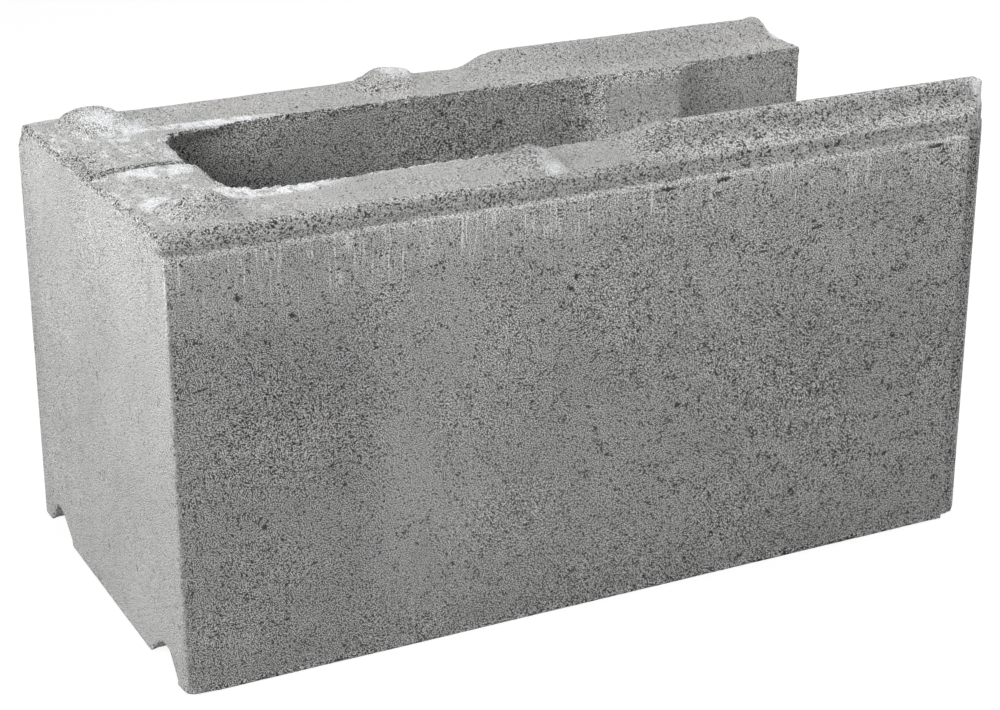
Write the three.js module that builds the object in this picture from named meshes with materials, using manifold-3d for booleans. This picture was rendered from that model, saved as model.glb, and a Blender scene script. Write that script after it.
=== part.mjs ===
// A dry-cast concrete formwork block, the end block of a course: two long shells joined by a
// full-height closed end and by one low web, open at the other end. Millimetres, +Z up, the block
// as it lies in a wall: X along the course with the closed end at -X, Y across the wall.
import * as THREE from 'three';
import { mergeVertices } from 'three/addons/utils/BufferGeometryUtils.js';
import Module from 'manifold-3d';

const wasm = await Module();
wasm.setup();

// Overall sizes
const courseLength = 500;        // closed end face to the open ends of the shells
const wallWidth = 256;           // outside of one shell to the outside of the other
const bedHeight = 250;           // bed face to the flat top
const arrisCut = 3;              // softening of the outer edges

// Hollows
const shellThickness = 62;
const endThickness = 60;         // the closed end
const coreLength = 302;          // the closed hollow, along X
const webThickness = 38;         // the low web, at its thinnest
const hollowCorner = 30;         // corners of the hollows, in plan
const rimChamfer = 2;            // broken edge round the top of the hollows
const saddleHalfWidth = 58;      // the U over the web, half round below its flared sides
const saddleFlareRun = 10;       // opening out of its sides at the top
const saddleFlareDrop = 16;

// Joints: a tongue along the top of each shell and down the open end of one shell, and a groove
// along the bed under each shell and up the open end of the other
const jointOffset = 30;          // tip of a tongue or groove from the outside of its shell
const innerReach = 28;           // foot of a tongue, in from its tip
const tongueHeight = 14.5;
const endTongueHeight = 14;
const tongueTipHalfWidth = 4;
const tongueTipCut = 3;
const tongueOuterSag = 2.5;      // how far its outer flank is hollow
const tongueInnerSag = 1.2;
const tongueCornerCut = 4;       // top corner of the open end
const rampFoot = 267;            // the top tongue starts here, from the closed end
const rampLength = 30;
const rampCut = 9;               // softening of the foot and head of the ramp
const jointClearance = 0.5;      // a groove is this much deeper than its tongue
const grooveTipOuter = 4.5;      // a groove's flat tip, out and in from its middle
const grooveTipInner = 8;
const grooveTipCut = 3;
const grooveMouthCut = 1.5;
const grooveShellExtra = 3.5;    // the shell with the end groove is this much longer

// Knobs that stand in line with the tongue, where it is missing
const knobHeight = 10.5;
const knobRadius = 23;
const knobTipRadius = 9;         // where its flank turns over into the blunt tip
const knobTipDrop = 1.5;         // and how far below the top that is
const knobFlankSag = 1.5;
const knobFacets = 32;
const knobRoot = 2;              // sunk into the shell
const firstKnob = 36;            // from the closed end
const secondKnob = 223;

// V-joints: rebates along the top and up the open end of each outer face
const ledgeInset = 12;           // top rebate: in from the face
const topRebateHeight = 11.5;    // and down from the flat top
const topChamferRun = 6;
const topChamferRise = 4.2;
const topStripLean = 1.6;
const topRounding = 2;
const endRebateInset = 9;        // open end rebate: in from the face
const endRebateLength = 17;      // and back from the open end
const endChamfer = 3.4;
const endStripLean = 1.1;
const endRounding = 5.4;
const rebateCut = 1;             // softening of the rebates' own corners

const curveSteps = 5;            // segments to a softened corner
const saddleSteps = 32;          // segments to the round bottom of the saddle
const past = 20;                 // how far a cutting shape runs past the body

// Places that follow from the sizes; the origin is under the middle of the whole length
const closedEndX = -(courseLength + endTongueHeight) / 2;
const openEndX = closedEndX + courseLength;
const faceY = wallWidth / 2;
const jointY = faceY - jointOffset;
const ledgeY = faceY - ledgeInset;
const hollowHalfWidth = faceY - shellThickness;
const outerReach = jointOffset - ledgeInset;
const crestZ = bedHeight + tongueHeight;
const coreStartX = closedEndX + endThickness;
const coreEndX = coreStartX + coreLength;
const pocketStartX = coreEndX + webThickness;

// A closed outline through corners [x, y, cut]; a corner with a cut is rounded off over that length
function softOutline(corners) {
  const shape = new THREE.Shape();
  corners.forEach(([x, y, cut], index) => {
    const corner = new THREE.Vector2(x, y);
    const towards = (other) => new THREE.Vector2(other[0], other[1]).sub(corner).setLength(cut).add(corner);
    const enter = towards(corners[(index + corners.length - 1) % corners.length]);
    const leave = towards(corners[(index + 1) % corners.length]);
    if (index === 0) {
      shape.moveTo(enter.x, enter.y);
    } else {
      shape.lineTo(enter.x, enter.y);
    }
    if (cut > 0) {
      shape.quadraticCurveTo(corner.x, corner.y, leave.x, leave.y);
    }
  });
  return shape;
}

// Corners [in, up, cut] of a tongue, from its outer foot over a soft flat tip to its inner foot;
// the outer flank is steep and hollow, the inner one long and nearly straight
function tongueCorners(height) {
  const outerFlank = (outerReach + tongueTipHalfWidth) / 2;
  const innerFlank = (innerReach + tongueTipHalfWidth) / 2;
  return [
    [-outerReach, 0, 0],
    [-outerFlank, height / 2 - 2 * tongueOuterSag, outerReach - outerFlank - 1],
    [-tongueTipHalfWidth, height, tongueTipCut],
    [tongueTipHalfWidth, height, tongueTipCut],
    [innerFlank, height / 2 - 2 * tongueInnerSag, innerReach - innerFlank - 1],
    [innerReach, 0, 0],
  ];
}

// Corners [out, deep, cut] of a groove that takes a tongue of this height, from its inner mouth
function grooveCorners(height) {
  const depth = height + jointClearance;
  return [
    [-innerReach, 0, grooveMouthCut],
    [-grooveTipInner, depth, grooveTipCut],
    [grooveTipOuter, depth, grooveTipCut],
    [outerReach, 0, grooveMouthCut],
  ];
}

// Half of the cross-section, [y, z, cut], from the middle of the bed to the middle of the top
function halfSection() {
  const groove = grooveCorners(tongueHeight).map(([out, deep, cut]) => [jointY + out, deep, cut]);
  const tongue = tongueCorners(tongueHeight).map(
    ([inwards, up, cut]) => [jointY - inwards, bedHeight + up, cut]
  );
  const stripY = faceY - topChamferRun;
  return [
    ...groove,
    [faceY, 0, arrisCut],
    [faceY, bedHeight - topRebateHeight, rebateCut],
    [stripY, bedHeight - topRebateHeight + topChamferRise, rebateCut],
    [stripY - topStripLean, bedHeight - topRounding, rebateCut],
    ...tongue,
  ];
}

function crossSection() {
  const half = halfSection();
  const mirrored = half.map(([y, z, cut]) => [-y, z, cut]).reverse();
  return softOutline([...half, ...mirrored]);
}

// Long elevation, [x, z, cut]: flat top, then the ramp up to the crest of the tongues
function longElevation() {
  const rampFootX = closedEndX + rampFoot;
  const tongueEndX = openEndX + endTongueHeight;
  return softOutline([
    [closedEndX, 0, arrisCut],
    [tongueEndX, 0, arrisCut],
    [tongueEndX, crestZ, tongueCornerCut],
    [rampFootX + rampLength, crestZ, rampCut],
    [rampFootX, bedHeight, rampCut],
    [closedEndX, bedHeight, arrisCut],
  ]);
}

// The rebate up the end of a shell that ends at endX, [x, y, cut], from the outer face on +Y inwards
function endRebateCorners(endX) {
  return [
    [endX - endRebateLength, faceY, rebateCut],
    [endX - endRebateLength + endChamfer, faceY - endChamfer, rebateCut],
    [endX - endRounding, faceY - endChamfer - endStripLean, rebateCut],
    [endX, faceY - endRebateInset, rebateCut],
  ];
}

// Plan: the tongue stands out of the open end of the -Y shell, the groove runs up the +Y shell
function plan() {
  const grooveEndX = openEndX + grooveShellExtra;
  const nearRebate = endRebateCorners(openEndX).map(([x, y, cut]) => [x, -y, cut]);
  const tongue = tongueCorners(endTongueHeight).map(
    ([inwards, out, cut]) => [openEndX + out, inwards - jointY, cut]
  );
  const groove = grooveCorners(endTongueHeight).map(
    ([out, deep, cut]) => [grooveEndX - deep, jointY + out, cut]
  );
  return softOutline([
    [closedEndX, -faceY, arrisCut],
    ...nearRebate,
    ...tongue,
    ...groove,
    ...endRebateCorners(grooveEndX).reverse(),
    [closedEndX, faceY, arrisCut],
  ]);
}

// A hollow in plan; one that starts at the web may run out through the open end
function hollowPlan(fromX, toX) {
  return softOutline([
    [fromX, -hollowHalfWidth, hollowCorner],
    [toX, -hollowHalfWidth, hollowCorner],
    [toX, hollowHalfWidth, hollowCorner],
    [fromX, hollowHalfWidth, hollowCorner],
  ]);
}

// The U over the web, [y, z]
function saddleOutline() {
  const shape = new THREE.Shape();
  const flaredY = saddleHalfWidth + saddleFlareRun;
  const flareZ = bedHeight - saddleFlareDrop;
  shape.moveTo(saddleHalfWidth, flareZ);
  shape.quadraticCurveTo(saddleHalfWidth, bedHeight, flaredY, bedHeight);
  shape.lineTo(flaredY, crestZ + past);
  shape.lineTo(-flaredY, crestZ + past);
  shape.lineTo(-flaredY, bedHeight);
  shape.quadraticCurveTo(-saddleHalfWidth, bedHeight, -saddleHalfWidth, flareZ);
  for (let step = 1; step < saddleSteps; step += 1) {
    const angle = Math.PI + (Math.PI * step) / saddleSteps;
    shape.lineTo(saddleHalfWidth * Math.cos(angle), flareZ + saddleHalfWidth * Math.sin(angle));
  }
  return shape;
}

function solid(geometry) {
  const bare = new THREE.BufferGeometry();
  bare.setAttribute('position', geometry.getAttribute('position'));
  bare.setIndex(geometry.index);
  const welded = mergeVertices(bare, 1e-4);
  return new wasm.Manifold(new wasm.Mesh({
    numProp: 3,
    vertProperties: new Float32Array(welded.getAttribute('position').array),
    triVerts: new Uint32Array(welded.index.array),
  }));
}

function sweep(shape, length) {
  const settings = { depth: length, bevelEnabled: false, curveSegments: curveSteps };
  return new THREE.ExtrudeGeometry(shape, settings);
}

// An outline in (y, z) swept along X
function sweepX(shape, fromX, toX) {
  const alongX = new THREE.Matrix4().makeBasis(
    new THREE.Vector3(0, 1, 0),
    new THREE.Vector3(0, 0, 1),
    new THREE.Vector3(1, 0, 0),
  );
  return solid(sweep(shape, toX - fromX).applyMatrix4(alongX).translate(fromX, 0, 0));
}

// An outline in (x, z) swept right across the block
function sweepY(shape) {
  return solid(sweep(shape, wallWidth + 2 * past).rotateX(Math.PI / 2).translate(0, faceY + past, 0));
}

// A plan swept up
function sweepZ(shape, fromZ, toZ) {
  return solid(sweep(shape, toZ - fromZ).translate(0, 0, fromZ));
}

function casting() {
  const lengthways = sweepX(crossSection(), closedEndX - past, openEndX + endTongueHeight + past);
  return lengthways.intersect(sweepY(longElevation())).intersect(sweepZ(plan(), -past, crestZ + past));
}

// A hollow right through the block, with a broken edge round its top
function hollow(fromX, toX) {
  const outline = hollowPlan(fromX, toX);
  const rim = new THREE.ExtrudeGeometry(outline, {
    depth: tongueHeight + past,
    bevelThickness: rimChamfer,
    bevelSize: rimChamfer,
    bevelSegments: 1,
    curveSegments: curveSteps,
  });
  return sweepZ(outline, -past, bedHeight).add(solid(rim.translate(0, 0, bedHeight)));
}

function saddle() {
  return sweepX(saddleOutline(), coreEndX - hollowCorner, pocketStartX + hollowCorner);
}

// A round knob with hollow flanks and a soft tip
function knob(fromClosedEnd, side) {
  const profile = new THREE.Path();
  profile.moveTo(0, -knobRoot);
  profile.lineTo(knobRadius, -knobRoot);
  profile.lineTo(knobRadius, 0);
  const flankX = (knobRadius + knobTipRadius) / 2 - knobFlankSag;
  const turnZ = knobHeight - knobTipDrop;
  profile.quadraticCurveTo(flankX, turnZ / 2 - knobFlankSag, knobTipRadius, turnZ);
  profile.quadraticCurveTo(knobTipRadius / 2, knobHeight, 0, knobHeight);
  const turned = new THREE.LatheGeometry(profile.getPoints(curveSteps), knobFacets).rotateX(Math.PI / 2);
  return solid(turned.translate(closedEndX + fromClosedEnd, side * jointY, bedHeight));
}

// Knobs never hang over the rebates
function knobs() {
  const top = new THREE.Shape();
  top.moveTo(-ledgeY, bedHeight - knobRoot);
  top.lineTo(ledgeY, bedHeight - knobRoot);
  top.lineTo(ledgeY, crestZ + past);
  top.lineTo(-ledgeY, crestZ + past);
  const all = [-1, 1].flatMap((side) => [knob(firstKnob, side), knob(secondKnob, side)]);
  return wasm.Manifold.union(all).intersect(sweepX(top, closedEndX, openEndX));
}

function block() {
  const outer = casting().add(knobs());
  const core = hollow(coreStartX, coreEndX);
  const pocket = hollow(pocketStartX, openEndX + endTongueHeight + hollowCorner + past);
  return outer.subtract(core).subtract(pocket).subtract(saddle());
}

function toGeometry(manifold) {
  const mesh = manifold.getMesh();
  const indexed = new THREE.BufferGeometry();
  indexed.setAttribute('position', new THREE.BufferAttribute(mesh.vertProperties, mesh.numProp));
  indexed.setIndex(new THREE.BufferAttribute(mesh.triVerts, 1));
  const faceted = indexed.toNonIndexed();
  faceted.computeVertexNormals();
  return faceted;
}

const concrete = new THREE.MeshStandardMaterial({ color: 0x94938f, roughness: 0.95, metalness: 0 });
const formworkBlock = new THREE.Mesh(toGeometry(block()), concrete);
formworkBlock.name = 'formwork_block';

const part = new THREE.Group();
part.add(formworkBlock);

export default part;
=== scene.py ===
"""Looks of the concrete formwork end block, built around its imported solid.

The block is one dry-cast piece. Its dense mesh starts as the solid itself, then gets what casting leaves:
ragged rims round the hollows, open-textured joint strips, lumpy knobs, a stepped skin on the closed end,
voids and chips. Sizes are millimetres in the row frame, but for floor, lights and camera, which are metres:
X along the course from the closed end to the open one, Y across the wall from near to far, Z up.
"""

import math
from collections import namedtuple

import bpy
import numpy as np
from mathutils import Matrix, Vector


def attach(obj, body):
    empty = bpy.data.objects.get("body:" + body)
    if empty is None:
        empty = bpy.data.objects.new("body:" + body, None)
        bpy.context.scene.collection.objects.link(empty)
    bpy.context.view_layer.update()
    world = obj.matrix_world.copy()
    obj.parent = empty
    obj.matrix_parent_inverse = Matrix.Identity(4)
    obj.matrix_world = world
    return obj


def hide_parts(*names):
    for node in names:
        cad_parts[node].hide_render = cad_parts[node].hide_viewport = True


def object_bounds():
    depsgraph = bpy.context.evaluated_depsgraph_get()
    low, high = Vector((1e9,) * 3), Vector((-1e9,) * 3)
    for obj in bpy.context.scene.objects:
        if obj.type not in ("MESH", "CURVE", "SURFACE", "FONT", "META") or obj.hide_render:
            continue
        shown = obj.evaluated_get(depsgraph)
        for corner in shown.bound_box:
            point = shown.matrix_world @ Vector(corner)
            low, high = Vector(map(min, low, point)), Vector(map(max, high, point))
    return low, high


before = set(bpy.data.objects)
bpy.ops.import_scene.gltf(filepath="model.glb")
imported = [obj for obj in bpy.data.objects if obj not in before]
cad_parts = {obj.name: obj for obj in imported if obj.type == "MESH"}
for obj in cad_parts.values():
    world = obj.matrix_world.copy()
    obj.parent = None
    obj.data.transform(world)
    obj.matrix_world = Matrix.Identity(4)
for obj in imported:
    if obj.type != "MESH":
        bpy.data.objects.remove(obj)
cad_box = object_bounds()

MM = 0.001
VOXEL = 1.05
TRIANGLES = 196_000


def solid_size(metres):
    """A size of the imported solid, in whole thousandths of a millimetre."""
    return round(metres / MM, 3)


# The block's own sizes: the outer ones from the solid, the others as its source has them
FACE_Y = solid_size(cad_box[1][1])
CLOSED_END_X = solid_size(cad_box[0][0])
OPEN_END_X = 243.0
FAR_SHELL_LONGER = 3.5
TOP_Z = 250.0
CREST = solid_size(cad_box[1][2]) - TOP_Z
FACE_TOP_Z = 238.5
LEDGE_Y = 116.0
HOLLOW_HALF = 66.0
HOLLOW_CORNER = 26.0
CORE_X = (-197.0, 105.0)
POCKET_X = (143.0, 340.0)
RAMP_X = (10.0, 40.0)

# ---------------------------------------------------------------- noise for the sculpting
# Odd numbers that scramble a lattice point, how many numbers a word holds, and what keeps places positive
MIX_X, MIX_Y, MIX_Z, MIX_SEED = 374761393, 668265263, 2246822519, 1274126177
WORD = 2**32
LATTICE_SHIFT = 1000.0

# Fractal noise: the weight of each octave in the one before it, the step of their seeds, and the gain of all
OCTAVE_WEIGHT = 0.6
OCTAVE_SEED = 17
FRACTAL_GAIN = 1.6


def hashed(ix, iy, iz, seed):
    """A fixed random number from 0 to 1 for each lattice point."""
    h = (
        ix.astype(np.uint32) * np.uint32(MIX_X)
        + iy.astype(np.uint32) * np.uint32(MIX_Y)
        + iz.astype(np.uint32) * np.uint32(MIX_Z)
        + np.uint32((seed * MIX_SEED) % WORD)
    )
    h = (h ^ (h >> np.uint32(13))) * np.uint32(MIX_SEED)
    h = (h ^ (h >> np.uint32(16))) * np.uint32(MIX_Z)
    return (h ^ (h >> np.uint32(15))).astype(np.float64) / (WORD - 1)


def value_noise(p, size, seed):
    """Smooth noise from -1 to 1 with lumps of this size."""
    q = p / size + LATTICE_SHIFT
    base = np.floor(q)
    t = q - base
    t = t * t * (3 - 2 * t)
    i = base.astype(np.int64)
    total = np.zeros(len(p))
    for dx in (0, 1):
        wx = t[:, 0] if dx else 1 - t[:, 0]
        for dy in (0, 1):
            wy = t[:, 1] if dy else 1 - t[:, 1]
            for dz in (0, 1):
                wz = t[:, 2] if dz else 1 - t[:, 2]
                total += wx * wy * wz * hashed(i[:, 0] + dx, i[:, 1] + dy, i[:, 2] + dz, seed)
    return total * 2 - 1


def fractal(p, size, octaves, seed):
    """Noise from about -1 to 1 whose lumps carry lumps of half the size, and so on."""
    total, weight, norm = np.zeros(len(p)), 1.0, 0.0
    for octave in range(octaves):
        total += weight * value_noise(p, size / 2**octave, seed + OCTAVE_SEED * octave)
        norm += weight
        weight *= OCTAVE_WEIGHT
    return total / norm * FRACTAL_GAIN


def grains(p, size, seed):
    """Rounded grains: 1 at the middle of a grain, falling to 0 in the gaps between them."""
    q = p / size + LATTICE_SHIFT
    i = np.floor(q).astype(np.int64)
    nearest = np.full(len(p), 9.0)
    for dx in (-1, 0, 1):
        for dy in (-1, 0, 1):
            for dz in (-1, 0, 1):
                cx, cy, cz = i[:, 0] + dx, i[:, 1] + dy, i[:, 2] + dz
                d = (
                    (q[:, 0] - cx - hashed(cx, cy, cz, seed)) ** 2
                    + (q[:, 1] - cy - hashed(cx, cy, cz, seed + 1)) ** 2
                    + (q[:, 2] - cz - hashed(cx, cy, cz, seed + 2)) ** 2
                )
                nearest = np.minimum(nearest, d)
    return 1 - np.clip(np.sqrt(nearest), 0, 1)


def ease(x, lo, hi):
    """0 at lo and before it, 1 at hi and past it, smooth between; lo may be the larger one."""
    t = np.clip((x - lo) / (hi - lo), 0, 1)
    return t * t * (3 - 2 * t)


def bell(x, width):
    """1 at nothing, fading to both sides over about this width."""
    return np.exp(-((x / width) ** 2))


def along(x, stops):
    """The value at x on the line through these stops, each a place and a value."""
    return np.interp(x, *zip(*stops))


def within(mask, p, field):
    """A field that is worked out only where its mask is above nothing."""
    total = np.zeros(len(p))
    chosen = mask > 0.004
    total[chosen] = mask[chosen] * field(p[chosen])
    return total


# ---------------------------------------------------------------- what is sculpted
# Knobs: flat_share is the flat part of the top; the foot reaches left, right, front and back of the middle
Knob = namedtuple("Knob", "x y height flat_share left right front back")
KNOBS = (
    Knob(-224.0, -93.0, 9.8, 0.22, 27.0, 22.0, 24.0, 26.0),
    Knob(-38.0, -94.0, 9.2, 0.20, 25.0, 20.0, 25.0, 23.0),
    Knob(-221.5, 97.0, 7.6, 0.52, 24.0, 23.0, 30.0, 20.0),
    Knob(-34.0, 96.0, 8.8, 0.42, 26.0, 28.5, 28.0, 21.0),
)
KNOB_REACH = (36.0, 38.0)
KNOB_FOOT = 1.5
KNOB_SEED = 101
KNOB_WARP, KNOB_SMALL_WARP = 0.13, 0.05

# How far noise moves the skin
WAVE = 0.12
OPEN_LUMP, OPEN_GAP = 0.2, 0.45
KNOB_LUMP = 0.6
CHIP_LUMP, CHIP_DEPTH = 0.55, 0.5
END_CHIP_DEPTH = 2.4
TRACK = 0.35

# Ragged rims: how far their lumps, big and small, and their loose crumbs stand in and out of the hollow, how
# much of that is upward, and how far all of the rim is worn down
RIM_LUMP, RIM_SMALL_LUMP = 0.5, 1.0
RIM_UPWARD, RIM_WORN = 0.8, 0.5
NEAR_RIM, FAR_RIM = 2.2, 0.7
CRUMB, CRUMB_SUNK = 2.4, 1.0
NEAR_CRUMBS, FAR_CRUMBS = 1.2, 0.1

# Lines of stops. How far the closed end's rim is moved in X, by Y
RIM_WANDER = (
    (-70.0, -7.0),
    (-60.0, -4.0),
    (-47.0, -2.0),
    (-30.0, 1.0),
    (-12.0, 0.5),
    (-5.0, -3.5),
    (5.0, -1.0),
    (26.0, 1.5),
    (56.0, 2.5),
    (64.0, 0.0),
)
# the Y that the far rim hangs over to, by X, and the most that it moves
FAR_LIP = ((-200.0, 58.5), (-168.0, 61.5), (-142.0, 66.0))
LIP_MOST = 7.0
# how far the near rim rolls down, by X
NEAR_ROLL = ((-212.0, 0.0), (-195.0, 0.3), (-165.0, 0.6), (-130.0, 0.9), (-112.0, 0.0))
# the X that the near shell's broken shoulder ends at, by Z
SHOULDER = ((236.0, 243.5), (242.0, 242.0), (250.0, 238.5))
# the Y of the seam in the closed end's top, by X
SEAM = ((-251.0, -16.0), (-241.0, -12.0), (-229.0, -8.5), (-220.0, -8.0), (-209.0, -8.0), (-199.0, -12.0))

# Tongues: where they really rise from the flat top, how much lower their crests are, and the near one's lean
RISE_X = (13.0, 42.0)
NEAR_CREST_LOWER, FAR_CREST_LOWER = 0.7, 0.45
TONGUE_LEAN = 1.3
FAR_TIP_LONGER, FAR_TIP_HIGHER = 2.0, 0.9

# Swell of the far shell's top, at the closed end and towards the ramp
SWELL, SWELL_MORE = 1.0, 0.6

# Edges: how much each kind is chipped, their radius, what the near corner under the closed end has more, how
# far they are moved out, how wide the open end's rebate is, and how far the skin may stand past the solid
END_WEAR, FACE_WEAR, UPRIGHT_WEAR, LOW_WEAR = 1.3, 0.7, 0.3, 0.15
EDGE_RADIUS = 0.3
CORNER_MORE, CORNER_REACH = 5.0, 22.0
SHARPER = 0.8
END_REBATE = 16.4
PAST_SOLID = 0.2

# Closed end's top: how far the near half's layer is proud, its waves, and how deep the seam is torn
LAYER_LEAST, LAYER_MORE, LAYER_WAVE = 0.3, 1.1, 0.49
TORN_DEPTH, TORN_GRAIN, TORN_LUMP = 2.0, 2.2, 0.6


# ---------------------------------------------------------------- sculpting
def hollow_distance(x, y, span):
    """Distance in plan from the outline of a hollow, negative inside it."""
    half = (span[1] - span[0]) / 2
    qx = np.abs(x - (span[0] + span[1]) / 2) - half + HOLLOW_CORNER
    qy = np.abs(y) - HOLLOW_HALF + HOLLOW_CORNER
    outside = np.hypot(np.maximum(qx, 0), np.maximum(qy, 0))
    return outside + np.minimum(np.maximum(qx, qy), 0) - HOLLOW_CORNER


def rim_distance(x, y):
    """Distance in plan from the nearer hollow's outline, negative inside it."""
    return np.minimum(hollow_distance(x, y, CORE_X), hollow_distance(x, y, POCKET_X))


class Skin:
    """The smooth casting's points, how far each is to move, and how far out along its normal."""

    def __init__(self, p, n):
        self.p, self.n = p, n
        self.x, self.y, self.z = p.T
        self.side = np.abs(self.y)
        self.up = ease(n[:, 2], 0.3, 0.8)
        self.from_rim = rim_distance(self.x, self.y)
        self.move = np.zeros_like(p)
        self.swell = WAVE * fractal(p, size=70, octaves=2, seed=3)

    def grow(self, mask, field):
        """Swells the skin by this field, as far as the mask lets it."""
        self.swell += within(mask, self.p, field)

    def moved(self):
        """The points after all moves, none of them far past the closed end or the faces, or under the bed."""
        shaped = self.p + self.n * self.swell[:, None] + self.move
        shaped[:, 0] = np.maximum(shaped[:, 0], CLOSED_END_X - PAST_SOLID)
        shaped[:, 1] = np.clip(shaped[:, 1], -FACE_Y - PAST_SOLID, FACE_Y + PAST_SOLID)
        shaped[:, 2] = np.maximum(shaped[:, 2], 0)
        return shaped


def knob_field(p, knob, seed):
    """How high this knob stands over the flat top, and where it holds sway."""
    dx, dy = p[:, 0] - knob.x, p[:, 1] - knob.y
    reach_x = np.where(dx < 0, knob.left, knob.right)
    reach_y = np.where(dy < 0, knob.front, knob.back)
    r = np.hypot(dx / reach_x, dy / reach_y)
    plan = p * [1, 1, 0]
    warp = 1 + KNOB_WARP * value_noise(plan, size=13, seed=seed)
    r = r * (warp + KNOB_SMALL_WARP * value_noise(plan, size=5, seed=seed + 1))
    cone = np.clip((1.0 - r) / (1.0 - knob.flat_share), 0, 1)
    rise = 0.5 * ease(r, 1.02, knob.flat_share) + 0.5 * cone
    return knob.height * rise, ease(r, 1.35, 1.15)


def raise_knobs(skin):
    """Lumpy mounds in the place of the smooth ones; gives back where they are."""
    inside_ledges = ease(skin.side, LEDGE_Y + 2.5, LEDGE_Y - 1.5)
    knobby = np.zeros(len(skin.p))
    for index, knob in enumerate(KNOBS):
        beside = (np.abs(skin.x - knob.x) < KNOB_REACH[0]) & (np.abs(skin.y - knob.y) < KNOB_REACH[1])
        near = np.flatnonzero(beside & (skin.z > TOP_Z - KNOB_FOOT))
        rise, sway = knob_field(skin.p[near], knob, KNOB_SEED + 10 * index)
        rise = rise * inside_ledges[near]
        sway = sway * ease(skin.z[near], TOP_Z - KNOB_FOOT, TOP_Z - 0.4)
        skin.move[near, 2] += sway * (TOP_Z + rise - skin.z[near])
        knobby[near] = np.maximum(knobby[near], sway * ease(rise, 0.3, 2.5))
    return knobby


def open_joint_strips(skin, knobby):
    """Open texture on the strips along the top, the outer flank of the tongues and the knobs."""
    outward = ease(skin.n[:, 1] * np.sign(skin.y), 0.35, 0.7)
    strip = outward * ease(skin.side, LEDGE_Y - 1, LEDGE_Y + 1)
    strip = strip * ease(skin.z, FACE_TOP_Z - 0.5, FACE_TOP_Z + 1.5)
    flank = ease(skin.z, TOP_Z + 0.8, TOP_Z + 3) * ease(skin.x, RAMP_X[0] - 5, RAMP_X[1])
    flank = flank * np.where(skin.n[:, 1] * skin.y > 0, 1.0, 0.35)
    open_skin = np.maximum(np.maximum(0.8 * strip, flank), knobby)

    def texture(q):
        gaps = ease(grains(q, size=2.4, seed=11), 0.34, 0.12)
        return OPEN_LUMP * fractal(q, size=3.4, octaves=2, seed=12) - OPEN_GAP * gaps

    skin.grow(open_skin, texture)
    skin.grow(knobby, lambda q: KNOB_LUMP * fractal(q, size=8, octaves=3, seed=21))


def tear_rims(skin):
    """Ragged rims round the hollows, with loose crumbs on those of the closed one."""
    middle, half = sum(CORE_X) / 2, (CORE_X[1] - CORE_X[0]) / 2
    rim = bell(skin.from_rim, 4.5) * ease(skin.z, TOP_Z - 6, TOP_Z - 1.5)
    at_end = np.abs(skin.x - middle) > half - 6
    out_x = np.where(at_end, np.sign(skin.x - middle), 0.0) * ease(skin.side, HOLLOW_HALF, 48)
    out_y = np.sign(skin.y) * ease(skin.side, 48, 64)

    def lumps(q):
        big = RIM_LUMP * fractal(q, size=8, octaves=3, seed=41)
        return big + RIM_SMALL_LUMP * fractal(q, size=3.0, octaves=2, seed=42)

    def loose(q):
        return CRUMB * ease(grains(q, size=3.4, seed=43), 0.42, 0.7) - CRUMB_SUNK

    ragged = within(rim, skin.p * [1, 1, 0.4], lumps)
    ragged = ragged * np.where(skin.y < 0, NEAR_RIM, FAR_RIM)
    crumbs = rim * ease(skin.x, 0, -10) * np.where(skin.y < 0, NEAR_CRUMBS, FAR_CRUMBS)
    ragged += within(crumbs, skin.p, loose)
    skin.move[:, 0] += ragged * out_x
    skin.move[:, 1] += ragged * out_y
    skin.move[:, 2] += RIM_UPWARD * ragged * skin.up - RIM_WORN * rim * skin.up


def bend_rims(skin):
    """The closed end's rim wanders, the far rim hangs over, the near rim rolls down into the corner."""
    at_rim = bell(skin.from_rim, 6) * ease(skin.z, TOP_Z - 9, TOP_Z - 2)
    skin.move[:, 0] += along(skin.y, RIM_WANDER) * at_rim * ease(skin.x, -165, -185)
    lip = np.minimum(along(skin.x, FAR_LIP) - skin.y, 0)
    skin.move[:, 1] += np.maximum(lip, -LIP_MOST) * at_rim * ease(skin.y, 40, 55)
    roll = ease(skin.from_rim, 11, 0) * ease(skin.y, -45, -60) * along(skin.x, NEAR_ROLL)
    skin.move[:, 2] -= roll * ease(skin.z, TOP_Z - 14, TOP_Z)


def shape_tongues(skin):
    """The tongues start later and rise more steeply than the plain ramp; the far shell's top swells."""
    ceiling = TOP_Z + CREST * ease(skin.x, *RISE_X)
    before_ramp_ends = ease(skin.x, RAMP_X[1] + 6, RAMP_X[1] + 4)
    past_knobs = ease(skin.x, RAMP_X[0] - 10, RAMP_X[0] - 8)
    skin.move[:, 2] -= np.maximum(skin.z - ceiling, 0) * before_ramp_ends * past_knobs
    lower = np.where(skin.y < 0, NEAR_CREST_LOWER, FAR_CREST_LOWER)
    skin.move[:, 2] -= ease(skin.z, TOP_Z + 9, TOP_Z + 14) * lower
    swell = SWELL + SWELL_MORE * ease(skin.x, -150, -60)
    swell = swell * ease(skin.y, 76, 106) * ease(skin.x, 27, 10)
    skin.move[:, 2] += swell * skin.up * ease(skin.z, TOP_Z - 3, TOP_Z - 0.5)


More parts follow.
